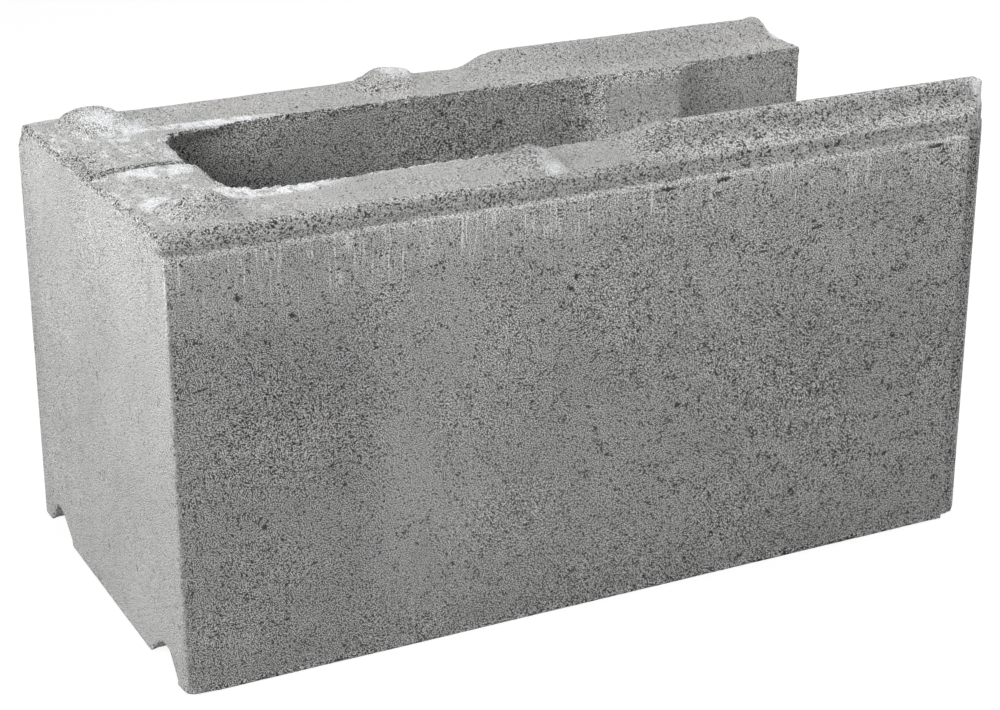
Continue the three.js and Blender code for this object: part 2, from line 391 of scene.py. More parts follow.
def wear_edges(skin):
    """Small chips along the outer edges, and the round near corner under the closed end."""
    x, y, z, side = skin.x, skin.y, skin.z, skin.side
    end_edge = bell(x - CLOSED_END_X, 3) * bell(z - TOP_Z, 3)
    face_edge = bell(side - FACE_Y, 1.6) * bell(z - FACE_TOP_Z, 1.6)
    upright_edge = bell(x - CLOSED_END_X, 2) * bell(side - FACE_Y, 2)
    low_edge = bell(z, 2) * np.maximum(bell(side - FACE_Y, 2), bell(x - CLOSED_END_X, 2))
    worn = END_WEAR * end_edge + FACE_WEAR * face_edge + UPRIGHT_WEAR * upright_edge + LOW_WEAR * low_edge
    worn = np.clip(worn, 0, END_WEAR)

    def big_chips(q):
        return -END_CHIP_DEPTH * ease(fractal(q, size=9, octaves=2, seed=53), 0.15, 0.8)

    skin.grow(worn, lambda q: CHIP_LUMP * fractal(q, size=5, octaves=3, seed=51) - CHIP_DEPTH)
    skin.grow(end_edge, big_chips)

    corner = np.stack([x - CLOSED_END_X, y + FACE_Y, z], axis=1)
    radius = EDGE_RADIUS + CORNER_MORE * bell(np.linalg.norm(corner, axis=1), CORNER_REACH)
    short = np.clip(radius[:, None] - corner, 0, None)
    length = np.linalg.norm(short, axis=1)
    over = np.clip(length - radius, 0, None) / np.maximum(length, 1e-6)
    skin.move += short * over[:, None]


def sharpen_edges(skin):
    """The mould leaves the face's own edges sharper than the plain solid has them."""
    x, y, z = skin.x, skin.y, skin.z
    from_face, from_end = FACE_Y - skin.side, x - CLOSED_END_X
    near_face, near_end, near_bed = (ease(gap, 4.0, 1.3) for gap in (from_face, from_end, z))
    on_face = ease(z, FACE_TOP_Z, FACE_TOP_Z - 4)
    skin.move[:, 0] -= SHARPER * np.maximum(near_face * on_face, near_bed) * near_end
    skin.move[:, 1] += SHARPER * np.sign(y) * np.maximum(near_end * on_face, near_bed) * near_face
    skin.move[:, 2] -= SHARPER * np.maximum(near_face, near_end) * near_bed

    # a square step where the open end's rebate starts
    face_end = np.where(y < 0, OPEN_END_X, OPEN_END_X + FAR_SHELL_LONGER) - END_REBATE
    step = ease(from_face, 3.6, 3.2) * ease(x, face_end + 0.4, face_end - 0.4)
    step = step * ease(x, face_end - 5, face_end - 4)
    skin.move[:, 1] += np.sign(y) * from_face * step * ease(z, FACE_TOP_Z - 0.5, FACE_TOP_Z - 1.5)


def finish_tongue_ends(skin):
    """The far tongue's tip is longer; the near one leans back, and its shoulder is broken off."""
    x, y, z = skin.x, skin.y, skin.z
    far_tip = ease(x, OPEN_END_X - 19, OPEN_END_X - 14) * ease(z, TOP_Z + CREST - 8, TOP_Z + CREST - 3)
    far_tip = far_tip * ease(y, 60, 80)
    skin.move[:, 0] += FAR_TIP_LONGER * far_tip
    skin.move[:, 2] += FAR_TIP_HIGHER * far_tip
    tongue_end = ease(x, OPEN_END_X + 6, OPEN_END_X + 11) * ease(y, -60, -80)
    skin.move[:, 0] -= TONGUE_LEAN * tongue_end * ease(z, TOP_Z - 3, TOP_Z + 4)
    broken = np.clip(x - along(z, SHOULDER), 0, None) * ease(-y, LEDGE_Y - 4, LEDGE_Y + 1)
    skin.move[:, 0] -= broken * ease(z, TOP_Z - 14, TOP_Z - 10) * ease(z, TOP_Z + 3, TOP_Z + 1)


def layer_closed_end(skin):
    """The skin of the near half of the closed end's top is a layer proud, with a torn seam beside it."""
    x, y, z, p = skin.x, skin.y, skin.z, skin.p
    from_seam = y - along(x, SEAM) + value_noise(p, size=4, seed=62)
    top = ease(z, TOP_Z - 1.2, TOP_Z - 0.3)
    on_end = ease(x, CORE_X[0] + 5, CORE_X[0] + 1) * skin.up * top * ease(skin.side, 84, HOLLOW_HALF)
    layer = ease(from_seam, 0.7, -0.7) * on_end * ease(x, CLOSED_END_X + 3, CLOSED_END_X + 20)
    waves = LAYER_WAVE * value_noise(p * [0.5, 1, 0], size=12, seed=65)
    skin.move[:, 2] += layer * (LAYER_MORE * ease(from_seam, -36, -4) + LAYER_LEAST + waves)
    trench = bell(from_seam - 7, 4.2) * (0.22 + 0.5 * ease(x, -214, -204) + 0.38 * ease(x, -226, -236))
    patch = ease(x, -230, -246) * ease(from_seam, 0, 5) * ease(y, 52, 36)

    def torn(q):
        grain = TORN_GRAIN * grains(q, size=3.2, seed=63)
        return -TORN_DEPTH + grain + TORN_LUMP * fractal(q, size=6, octaves=2, seed=64)

    skin.grow(on_end * np.clip(trench + 0.8 * patch, 0, 1), torn)


def drag_top(skin):
    """Soft tracks left in the fresh top."""
    level = skin.up * ease(skin.z, TOP_Z - 1.2, TOP_Z - 0.3) * ease(skin.z, TOP_Z + 2, TOP_Z + 0.6)
    skin.grow(level, lambda q: TRACK * fractal(q * [0.35, 1, 0], size=13, octaves=2, seed=71))


def sculpt(p, n):
    """Moves the points of the smooth casting to where the real one's skin is."""
    skin = Skin(p, n)
    knobby = raise_knobs(skin)
    open_joint_strips(skin, knobby)
    tear_rims(skin)
    bend_rims(skin)
    shape_tongues(skin)
    wear_edges(skin)
    sharpen_edges(skin)
    finish_tongue_ends(skin)
    layer_closed_end(skin)
    drag_top(skin)
    return skin.moved()


# ---------------------------------------------------------------- the dense mesh
def apply_modifiers(block):
    """Puts the mesh that the modifiers make in the place of the block's own."""
    evaluated = block.evaluated_get(bpy.context.evaluated_depsgraph_get())
    made = bpy.data.meshes.new_from_object(evaluated)
    block.modifiers.clear()
    block.data = made


def read_vectors(collection, name):
    """One vector of a mesh's vertices or normals to a row."""
    values = np.empty(len(collection) * 3)
    collection.foreach_get(name, values)
    return values.reshape(-1, 3)


def mark(block, name, chosen):
    """Names the chosen vertices as a group."""
    block.vertex_groups.new(name=name).add(np.flatnonzero(chosen).tolist(), 1.0, "REPLACE")


def dense_block():
    """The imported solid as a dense, even mesh, sculpted and then thinned where it is plain."""
    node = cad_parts["formwork_block"]
    block = bpy.data.objects.new("concrete_block", node.data.copy())
    bpy.context.scene.collection.objects.link(block)
    block.data.materials.clear()
    remesh = block.modifiers.new("remesh", "REMESH")
    remesh.mode = "VOXEL"
    remesh.voxel_size = VOXEL * MM
    apply_modifiers(block)

    # the voxels' steps are taken out of the ramp
    x, _, z = read_vectors(block.data.vertices, "co").T / MM
    mark(block, "ramp", (x > RAMP_X[0] - 12) & (x < RAMP_X[1] + 12) & (z > TOP_Z - 0.5))
    soften = block.modifiers.new("soften", "SMOOTH")
    soften.vertex_group = "ramp"
    soften.iterations = 6
    apply_modifiers(block)

    mesh = block.data
    smooth = read_vectors(mesh.vertices, "co")
    shaped = sculpt(smooth / MM, read_vectors(mesh.vertex_normals, "vector"))
    mesh.vertices.foreach_set("co", (shaped * MM).ravel())
    mesh.update()

    # the ragged rims and the closed end's edge keep all their triangles
    x, y, z = smooth.T / MM
    ragged = (np.abs(rim_distance(x, y)) < 5) & (z > TOP_Z - 6) & (x < 2)
    ragged |= (x < CLOSED_END_X + 3.5) & (z > TOP_Z - 3.5)
    mark(block, "plain", ~ragged)
    decimate = block.modifiers.new("decimate", "DECIMATE")
    decimate.vertex_group = "plain"
    decimate.ratio = min(1.0, TRIANGLES / (2 * len(mesh.polygons)))
    apply_modifiers(block)
    block.data.shade_smooth()
    return block


# ---------------------------------------------------------------- shader nodes
class Graph:
    """Short names for the shader nodes used below."""

    def __init__(self, tree):
        self.tree = tree

    def node(self, kind, **settings):
        made = self.tree.nodes.new(kind)
        for key, value in settings.items():
            setattr(made, key, value)
        return made

    def feed(self, socket, value):
        """Links a socket to another one's value, or sets it to a plain value."""
        if isinstance(value, bpy.types.NodeSocket):
            self.tree.links.new(value, socket)
        else:
            socket.default_value = value

    def math(self, operation, *values, clamp=False):
        made = self.node("ShaderNodeMath", operation=operation, use_clamp=clamp)
        for socket, value in zip(made.inputs, values):
            self.feed(socket, value)
        return made.outputs[0]

    def chain(self, operation, values):
        total = values[0]
        for value in values[1:]:
            total = self.math(operation, total, value)
        return total

    def product(self, *values):
        return self.chain("MULTIPLY", values)

    def sum(self, *values):
        return self.chain("ADD", values)

    def most(self, *values):
        return self.chain("MAXIMUM", values)

    def rest(self, value):
        """What is left of 1."""
        return self.math("SUBTRACT", 1.0, value)

    def absolute(self, value):
        return self.math("ABSOLUTE", value)

    def vector(self, operation, a, b):
        made = self.node("ShaderNodeVectorMath", operation=operation)
        self.feed(made.inputs[0], a)
        self.feed(made.inputs["Scale"] if operation == "SCALE" else made.inputs[1], b)
        return made.outputs["Value"] if operation == "LENGTH" else made.outputs[0]

    def split(self, vector):
        made = self.node("ShaderNodeSeparateXYZ")
        self.feed(made.inputs[0], vector)
        return made.outputs

    def join(self, x, y, z):
        made = self.node("ShaderNodeCombineXYZ")
        for socket, value in zip(made.inputs, (x, y, z)):
            self.feed(socket, value)
        return made.outputs[0]

    def ease(self, value, lo, hi, to_lo=0.0, to_hi=1.0):
        """Goes smoothly from one share at lo to another at hi; lo may be the larger one."""
        made = self.node("ShaderNodeMapRange", interpolation_type="SMOOTHSTEP")
        names = ("Value", "From Min", "From Max", "To Min", "To Max")
        for name, given in zip(names, (value, lo, hi, to_lo, to_hi)):
            self.feed(made.inputs[name], given)
        return made.outputs[0]

    def noise(self, vector, size, detail=2.0, roughness=0.5, distortion=0.0, output="Fac"):
        """Noise about 0.5, with features of this size in millimetres; as a Color it is three at once."""
        made = self.node("ShaderNodeTexNoise")
        self.feed(made.inputs["Vector"], vector)
        made.inputs["Scale"].default_value = 1 / size
        made.inputs["Detail"].default_value = detail
        made.inputs["Roughness"].default_value = roughness
        made.inputs["Distortion"].default_value = distortion
        return made.outputs[output]

    def cells(self, vector, size):
        """A random number from 0 to 1 for each grain of this size."""
        made = self.node("ShaderNodeTexVoronoi")
        self.feed(made.inputs["Vector"], vector)
        made.inputs["Scale"].default_value = 1 / size
        return self.split(made.outputs["Color"])[0]

    def spread(self, value, amount, half=0.25):
        """Swings from -amount to amount while noise goes this far to either side of its middle."""
        return self.ease(value, 0.5 - half, 0.5 + half, -amount, amount)

    def blob(self, p, middle, reach):
        """1 in the middle of a soft egg, 0 outside it."""
        away = self.vector("SUBTRACT", p, middle)
        away = self.vector("DIVIDE", away, reach)
        return self.ease(self.vector("LENGTH", away, (0, 0, 0)), 1.0, 0.45)

    def mix(self, share, a, b, blend="MIX"):
        made = self.node("ShaderNodeMix", data_type="RGBA", blend_type=blend)
        self.feed(made.inputs["Factor"], share)
        self.feed(made.inputs[6], a)
        self.feed(made.inputs[7], b)
        return made.outputs[2]


# ---------------------------------------------------------------- regions of the concrete's skin
# A region is a row of reaches, and a point is in it as far as it is within all of them. A reach is an axis,
# where along it the region starts and where it is in full; where it has two more numbers, they are the shares
# at those two places. Side is the distance from the middle of the wall; nx and nz are the normal's.
END_FACE = (("nx", -0.6, -0.9), ("x", CLOSED_END_X + 7, CLOSED_END_X + 3))
NEAR_FACE = (("y", -FACE_Y + 2, -FACE_Y + 0.6),)
OUTSIDE = (("side", FACE_Y - 2, FACE_Y - 0.8),)
UPWARD = (("nz", 0.55, 0.9),)
LEVEL_TOP = UPWARD + (("z", TOP_Z - 2, TOP_Z - 0.8),)
INNER = (("side", HOLLOW_HALF + 2, HOLLOW_HALF + 0.5), ("x", CLOSED_END_X + 3, CLOSED_END_X + 8))
JOINT_STRIP = (
    ("side", LEDGE_Y - 1, LEDGE_Y + 1),
    ("z", FACE_TOP_Z, FACE_TOP_Z + 2),
    ("z", TOP_Z - 0.3, TOP_Z - 1.3),
)
NEAR_TONGUE = (("z", TOP_Z + 0.1, TOP_Z + 0.9), ("y", -96.5, -99.5), ("x", 16.0, 38.0))
BESIDE_TONGUE = (("x", 5.0, 30.0), ("y", -95.0, -105.0))
KNOB_TOPS = (("z", TOP_Z + 1.5, TOP_Z + 4), ("x", 0.0, -12.0))

# What is torn on the closed end: its seam, the chipped middle of its edge, and the edge itself
SEAM_REACH = (("x", CORE_X[0] + 3, CORE_X[0]), ("z", TOP_Z - 4, TOP_Z - 1))
SEAM_HALF = (5.5, 2.8)
SEAM_MIDDLE = (-226.0, 1.0)
SEAM_BEND = 0.0075
CHIPPED_X = (("x", -238.0, -248.0),)
CHIPPED_Y = 18.0
CHIPPED_HALF = (34.0, 22.0)
CHIPPED_SHARE = 0.6
TORN = (("z", TOP_Z - 4, TOP_Z - 1), ("nx", -0.75, -0.4))
END_EDGE = (("x", CLOSED_END_X + 6, CLOSED_END_X + 2.5), ("z", TOP_Z - 5, TOP_Z - 2), ("nz", 0.93, 0.8))

# How open the skin of tongue and knobs is; how smooth the closed end is, and the top, away from the near
# tongue and beside it; and how calm some parts of the near face are
TONGUE_OPEN, KNOBS_OPEN = 0.8, 0.5
END_SMOOTH, TOP_SMOOTH = 0.4, (0.85, 0.5)
BAND_CALM, FACE_RIM_CALM, CORNER_CALM = 0.5, 0.6, 0.8

# Where the skin is calm
AT_NEAR_FACE = ("y", -FACE_Y + 2, -FACE_Y + 1)
CALM_BAND = (AT_NEAR_FACE, ("x", -152.0, -134.0), ("x", -80.0, -98.0))
CALM_UNDER_RIM = (AT_NEAR_FACE, ("z", 190.0, 222.0), ("x", -60.0, -140.0, 0.32, 0.48))
CALM_FACE_RIM = (("y", -FACE_Y + 3, -FACE_Y + 1.5),)
CALM_FACE_RIM_HALF = (3.0, 1.0)
CALM_CORNER = (
    ("x", CLOSED_END_X + 3.5, CLOSED_END_X + 1.5),
    ("y", -FACE_Y + 2.5, -FACE_Y + 0.8),
    ("z", FACE_TOP_Z, FACE_TOP_Z - 4),
)
CALM_INNER_WEB = (("x", CORE_X[1] - 11, CORE_X[1] - 1), ("x", POCKET_X[0] + 6, POCKET_X[0] + 9, 0.85, 0.45))
CALM_INNER_FAR = (("x", -130.0, 0.0, 0.0, 0.2),)

# Where the pits are more or fewer, and where the mould left upright marks
PITS_ALONG = (("x", -100.0, 150.0, 0.85, 1.7),)
PITS_OPEN = (("x", 60.0, 160.0, 0.11, 0.05),)
PITS_AT_END = 0.15
DRAWN = (("z", 196.0, 230.0), ("z", FACE_TOP_Z + 1, FACE_TOP_Z - 1))
END_DRAWN = 0.25
DRAWN_MARKS, FACE_MARKS = 0.75, 0.12

# Where the film of cement can be; where it lies along the near rim, and where in stray wisps; and how much of
# it shows on a knob, by X, and elsewhere
FILM_FACING = (("nz", 0.1, 0.5),)
RIM_FILM = (
    ("y", -HOLLOW_HALF - 6, -HOLLOW_HALF - 2.5),
    ("y", -HOLLOW_HALF + 8, -HOLLOW_HALF + 4),
    ("z", TOP_Z - 4, TOP_Z - 1.5),
    ("x", -204.0, -192.0),
    ("x", 0.0, -90.0),
)
STRAY_FILM = UPWARD + (("x", -150.0, -200.0), ("y", -112.0, -96.0, 0.15, 0.7))
KNOB_FILM = (("x", -120.0, -180.0, 0.55, 0.78),)
FLAT_FILM = 0.92

# The film's patches on the top, and the one at the mitre of the near tongue: middle and reach of each
PALE_PATCHES = (
    ((-221.0, -16.0, 251.0), (30.0, 17.0, 9.0)),
    ((-238.0, -72.0, 251.0), (15.0, 15.0, 9.0)),
    ((-202.0, -67.0, 250.0), (26.0, 11.0, 9.0)),
    ((-172.0, -73.0, 249.0), (44.0, 15.0, 9.0)),
    ((-186.0, -72.0, 249.0), (17.0, 12.0, 9.0)),
    ((-214.0, 83.0, 254.0), (25.0, 27.0, 14.0)),
    ((-165.0, 70.0, 249.0), (62.0, 8.0, 9.0)),
    ((-29.0, 95.0, 259.0), (13.0, 15.0, 9.0)),
    ((-34.0, -110.0, 255.0), (12.0, 20.0, 9.0)),
    ((240.0, 84.0, 256.0), (8.0, 10.0, 7.0)),
)
MITRE_PATCH = ((250.5, -106.0, 256.5), (7.5, 10.0, 15.0))

# Single voids on the near face, x and z, and cracks along its top edge, x and z with how far they run
VOIDS = (
    (-31.8, 188.5),
    (-28.0, 194.9),
    (-210.1, 87.8),
    (36.8, 109.3),
    (-219.5, 213.7),
    (-190.6, 199.9),
    (115.6, 41.4),
)
VOID_REACH = (2.4, 4.0, 1.9)
CRACKS = ((28.0, 235.4, 8.0), (62.0, 236.0, 6.0), (203.0, 236.2, 8.0))
CRACK_DEPTH, CRACK_HEIGHT = 4.0, 1.6

# ---------------------------------------------------------------- tones of the concrete, with some painted light and shade
# Broad tones: how much paler a row makes a point, or darker if it is below nothing, and the row's reaches.
# A row that starts with 1.0 has its amounts in a reach.
NEAR_FACE_TONES = (
    # paler towards the top edge
    (0.22, ("z", 208.0, 236.0), ("x", -225.0, -60.0, 0.2, 0.95)),
    (0.10, ("z", 140.0, 195.0), ("x", 10.0, 80.0), ("x", 175.0, 125.0, 0.5, 1.0)),
    (0.12, ("z", 130.0, 190.0), ("x", -130.0, -20.0)),
    (0.11, ("z", 205.0, 235.0), ("x", 185.0, 225.0)),
    # darker at the closed end, and at the foot as painted shade
    (-0.17, ("x", -128.0, -168.0), ("z", 212.0, 185.0), ("z", 20.0, 60.0, 0.4, 1.0)),
    (-0.07, ("z", 60.0, 8.0)),
)
BAND_TONES = ((1.0, ("z", 60.0, 130.0, 0.02, 0.09)),)
END_FACE_TONES = (
    (-0.06,),
    # painted light: paler towards the top
    (0.15, ("z", 110.0, 235.0)),
    (-0.10, ("y", 98.0, 124.0)),
    (0.03, ("y", 10.0, 70.0)),
    (-0.035, ("y", -30.0, -110.0)),
)
INNER_SHADE_AND_TONES = (
    # the hollow's far wall: painted shade towards the closed end and further down, painted light towards the
    # web, and paler under its rim
    (1.0, ("x", -150.0, 60.0, -0.10, 0.13)),
    (1.0, ("z", 200.0, 240.0, -0.12, 0.04)),
    (0.12, ("z", 236.0, 246.0), ("x", -165.0, -125.0), ("x", -40.0, -75.0)),
    # the open pocket beyond the web, with painted shade in its corner at the web, and the web itself, paler
    # with painted light
    (1.0, ("x", POCKET_X[0] + 6.5, POCKET_X[0] + 8.5), ("x", 195.0, 165.0, 0.05, -0.06)),
    (0.22, ("x", CORE_X[1] - 11, CORE_X[1] + 1), ("x", POCKET_X[0] + 8.5, POCKET_X[0] + 6.5)),
)
STRIP_FOOT = ("z", FACE_TOP_Z + 0.7, FACE_TOP_Z + 1.6)
STRIP_TONES = (
    # darker on its chamfer, partly for its open texture and partly as painted shade; paler towards the open
    # end
    (-0.24, STRIP_FOOT, ("z", TOP_Z - 6, TOP_Z - 8), ("x", -120.0, 0.0, 1.5, 1.0)),
    (1.0, ("x", -80.0, 160.0, 0.04, 0.12)),
)
FAR_TONGUE_TONES = ((-0.06, ("z", TOP_Z + 1, TOP_Z + 4), ("y", 60.0, 80.0), ("x", 20.0, 50.0)),)
TOP_TONES = (
    # the near shell's inner side, the far tongue's inner flank, and the corners at the closed end
    (-0.115, ("y", -60.0, -64.0), ("x", -70.0, -40.0), ("x", 60.0, 30.0)),
    (-0.07, ("y", 60.0, 64.0), ("y", 90.0, 80.0), ("x", 110.0, 135.0), ("x", 215.0, 190.0)),
    (-0.10, ("y", -98.0, -108.0), ("x", -170.0, -205.0)),
    (-0.08, ("y", 80.0, 95.0), ("x", -228.0, -240.0)),
)
LEVEL_TONES = ((0.08, ("x", -180.0, -200.0), ("y", -3.0, 6.0)),)
KNOB_SHADE = ((-46.0, -84.0, 255.0), (18.0, 15.0, 9.0))
KNOB_SHADE_TONE = -0.09
TONGUE_TONE = 0.06
TORN_TONE = -0.20

FACE_GREY = (0.46, 0.46, 0.455, 1.0)
TOP_GREY = (0.455, 0.455, 0.45, 1.0)
WARM = (0.45, 0.425, 0.39, 1.0)
PALE = (0.86, 0.87, 0.885, 1.0)
# painted shade that fills the pits, voids and cracks
HOLE_SHADE = (0.035, 0.035, 0.034, 1.0)
WARM_ON_TOP, WARM_LOW_RIGHT = 0.3, 0.35
LOW_RIGHT = (("z", 130.0, 20.0), ("x", 20.0, 220.0))

# Sizes of the noises and grains. The pits' chains slant on the long faces and are drawn out along themselves,
# the mould's streaks are drawn out upward, and a wobble of one size moves the edges of voids by the other
SAND = 0.54
PIT = 0.85
CLOUD = 60.0
DRIFT = 16.0
CLUSTER = 7.0
CHAIN = 2.6
CHAIN_SLANT = math.radians(38)
CHAIN_STRETCH = 0.14
VOID = 3.1
STREAK = 1.3
STREAK_STRETCH = 0.06
WISP = 6.5
STREAK_BREAK = 14.0
WOBBLE, WOBBLE_SIZE = 2.2, 3.0

# From what level of noise, and to what, something is there
CLUSTERED = (0.60, 0.74)
STREAKED, UNBROKEN = (0.5, 0.72), (0.4, 0.6)
PATCH_WISPS, RIM_WISPS, STRAY_WISPS = (0.30, 0.56), (0.30, 0.46), (0.47, 0.68)
WARM_CLOUDS = (0.5, 0.75)

# What a noise or a share does: from and to, then the result at either
BAND_BY_DRIFT = (0.35, 0.6, 1.0, 0.5)
PITS_BY_DRIFT = (0.35, 0.65, 0.03, 0.11)
PITS_BY_CHAIN = (0.55, 0.72, 0.0, 0.10)
PITS_BY_CALM = (0.0, 1.0, 1.0, 0.25)
GRAIN_BY_FILM = (0.0, 1.0, 1.0, 0.45)
PIT_DARK_BY_FILM = (0.0, 1.0, 0.9, 0.2)
SAND_RELIEF = (0.0, 1.0, 0.5, 0.2)
VOID_RELIEF = (0.71, 0.74, 0.0, -2.0)

# How much of something there is, or is lost
PITS_IN_CLUSTER = 0.22
GRAIN_LOST_CALM, GRAIN_LOST_OPEN = 0.7, 0.5
FILM_TORN_OFF = 0.85
VOID_DARK = 0.9
CLOUD_TONE, DRIFT_TONE, STREAK_TONE = 0.06, 0.05, 0.9
SAND_TONE, SAND_HALF = 1.0, 0.05

# The level of noise that a void starts at, what moves it, and how wide a void's edge is
VOID_LEVEL = 0.73
VOID_LEVEL_CLUSTER, VOID_LEVEL_OPEN, VOID_LEVEL_SMOOTH = -0.07, -0.05, 0.02
VOID_EDGE = 0.03

RELIEF = 0.2
ROUGHNESS = 0.95
SPECULAR_LEVEL = 0.2


# ---------------------------------------------------------------- the concrete's material
class Concrete(Graph):
    """The look of the casting, worked out from where a point is and which way it faces."""

    def __init__(self, tree):
        super().__init__(tree)
        coords = self.node("ShaderNodeTexCoord")
        self.p = self.vector("MULTIPLY", coords.outputs["Object"], (1 / MM, 1 / MM, 1 / MM))
        x, y, z = self.split(self.p)
        nx, _, nz = self.split(coords.outputs["Normal"])
        self.axes = {"x": x, "y": y, "z": z, "side": self.absolute(y), "nx": nx, "nz": nz}
        self.upward = self.region(UPWARD)
        self.upright = self.math("SUBTRACT", 1.0, self.absolute(nz), clamp=True)
        self.end_face = self.region(END_FACE)
        self.strip = self.region(JOINT_STRIP)
        self.tongue = self.region(NEAR_TONGUE)
        self.knobby = self.region(KNOB_TOPS)
        self.level_top = self.product(self.region(LEVEL_TOP), self.rest(self.tongue))
        self.inner = self.product(self.region(INNER), self.upright)
        self.end_edge = self.region(END_EDGE)
        self.seam = self.seam_share()
        self.torn = self.torn_share()
        self.clouds = self.noise(self.p, CLOUD, detail=3.0, roughness=0.55)
        self.drift = self.noise(self.p, DRIFT, detail=3.0, roughness=0.6)
        self.cluster = self.ease(self.noise(self.p, CLUSTER, detail=1.0), *CLUSTERED)
        self.band = self.product(self.region(CALM_BAND), self.ease(self.drift, *BAND_BY_DRIFT))
        # the levelled top's grain is drawn out across the wall
        drawn_out = self.product(self.math("GREATER_THAN", nz, 0.8), -0.5)
        self.levelled = self.join(x, self.product(y, self.sum(1.0, drawn_out)), z)
        self.sand = self.noise(self.levelled, SAND, detail=0.0)

    def shares(self, reaches):
        """How far the point is within each of these reaches."""
        return [self.ease(self.axes[axis], *reach) for axis, *reach in reaches]

    def region(self, reaches):
        """How far the point is within all of them."""
        return self.product(*self.shares(reaches))

    def tones(self, rows):
        """How much paler all these rows make the point."""
        return self.sum(*(self.product(amount, *self.shares(reaches)) for amount, *reaches in rows))

    def seam_share(self):
        """The open seam in the closed end's top, a shallow arc in plan."""
        past_bend = self.sum(self.axes["x"], -SEAM_MIDDLE[0])
        bend = self.product(past_bend, past_bend, SEAM_BEND)
        from_seam = self.absolute(self.sum(self.axes["y"], -SEAM_MIDDLE[1], bend))
        return self.product(self.ease(from_seam, *SEAM_HALF), self.region(SEAM_REACH))

    def torn_share(self):
        """What is torn beside the seam."""
        across = self.ease(self.absolute(self.sum(self.axes["y"], -CHIPPED_Y)), *CHIPPED_HALF)
        chipped = self.product(self.region(CHIPPED_X), across, CHIPPED_SHARE)
        return self.product(self.most(self.seam, chipped), self.region(TORN))

    def open_skin(self):
        """Where the skin is open: joint strips, tongues, knobs and what is torn."""
        opened = self.math("ADD", self.strip, self.product(self.tongue, TONGUE_OPEN), clamp=True)
        return self.most(opened, self.product(self.knobby, KNOBS_OPEN), self.torn, self.end_edge)

    def smooth_skin(self):
        """Where the mould or the trowel closed the skin: the closed end and the levelled top."""
        beside_tongue = self.ease(self.region(BESIDE_TONGUE), 0.0, 1.0, *TOP_SMOOTH)
        level_top = self.product(self.level_top, beside_tongue)
        return self.most(self.product(self.end_face, END_SMOOTH), level_top)

    def calm_skin(self, opened, smooth):
        """Where the grain is calm: what is smooth, and parts of the near face and of the hollows."""
        from_rim = self.absolute(self.sum(self.axes["z"], -FACE_TOP_Z))
        face_rim = self.product(self.region(CALM_FACE_RIM), self.ease(from_rim, *CALM_FACE_RIM_HALF))
        calm = self.most(
            smooth,
            self.product(self.band, BAND_CALM),
            self.product(face_rim, FACE_RIM_CALM),
            self.region(CALM_UNDER_RIM),
            self.product(self.region(CALM_CORNER), CORNER_CALM),
        )
        return self.most(
            self.product(calm, self.rest(opened)),
            self.product(self.inner, self.region(CALM_INNER_WEB)),
            self.product(self.inner, self.region(CALM_INNER_FAR)),
        )

    def grain(self, calm, opened):
        """Sand at the size the eye just makes out."""
        return self.product(
            self.spread(self.sand, SAND_TONE, SAND_HALF),
            self.rest(self.product(calm, GRAIN_LOST_CALM)),
            self.rest(self.product(opened, GRAIN_LOST_OPEN)),
        )

    def pits(self, calm, opened):
        """Pits between the grains, in drifts and in slanting chains on the long faces."""
        x, y, z = self.axes["x"], self.axes["y"], self.axes["z"]
        c, s = math.cos(CHAIN_SLANT), math.sin(CHAIN_SLANT)
        down_chain = self.sum(self.product(x, c), self.product(z, s))
        over_chain = self.sum(self.product(x, -s), self.product(z, c))
        slanting = self.join(self.product(down_chain, CHAIN_STRETCH), y, over_chain)
        chains = self.noise(slanting, CHAIN, detail=1.0)
        share = self.sum(
            self.ease(self.drift, *PITS_BY_DRIFT),
            self.ease(chains, *PITS_BY_CHAIN),
            self.product(self.cluster, PITS_IN_CLUSTER),
        )
        share = self.product(share, self.ease(calm, *PITS_BY_CALM), self.region(PITS_ALONG))
        at_open = self.product(opened, self.region(PITS_OPEN))
        at_end = self.product(self.most(self.end_edge, self.seam), PITS_AT_END)
        return self.math("LESS_THAN", self.cells(self.levelled, PIT), self.sum(share, at_open, at_end))

    def voids(self, void_noise, opened, smooth):
        """A few bigger voids of no regular shape, and the cracks."""
        start = self.sum(
            VOID_LEVEL,
            self.product(self.cluster, VOID_LEVEL_CLUSTER),
            self.product(opened, VOID_LEVEL_OPEN),
            self.product(smooth, VOID_LEVEL_SMOOTH),
        )
        void = self.ease(void_noise, start, self.sum(start, VOID_EDGE))
        sway = self.noise(self.p, WOBBLE, detail=0.0, output="Color")
        sway = self.vector("SCALE", self.vector("SUBTRACT", sway, (0.5, 0.5, 0.5)), WOBBLE_SIZE)
        wobbly = self.vector("ADD", self.p, sway)
        for x, z in VOIDS:
            void = self.most(void, self.blob(wobbly, (x, -FACE_Y, z), VOID_REACH))
        for x, z, run in CRACKS:
            reach = (run, CRACK_DEPTH, CRACK_HEIGHT)
            void = self.most(void, self.blob(wobbly, (x, -FACE_Y, z), reach))
        return void

    def streaks(self):
        """Upright marks of the mould as it was drawn off."""
        drawn_up = self.vector("MULTIPLY", self.p, (1.0, 1.0, STREAK_STRETCH))
        lines = self.noise(drawn_up, STREAK, detail=1.0, roughness=0.6)
        outside = self.most(self.region(OUTSIDE), self.product(self.end_face, END_DRAWN))
        unbroken = self.ease(self.noise(self.p, STREAK_BREAK, roughness=0.6), *UNBROKEN)
        drawn = self.product(self.upright, outside, self.region(DRAWN), unbroken)
        share = self.sum(self.product(drawn, DRAWN_MARKS), self.product(outside, FACE_MARKS))
        return self.product(self.ease(lines, *STREAKED), share)

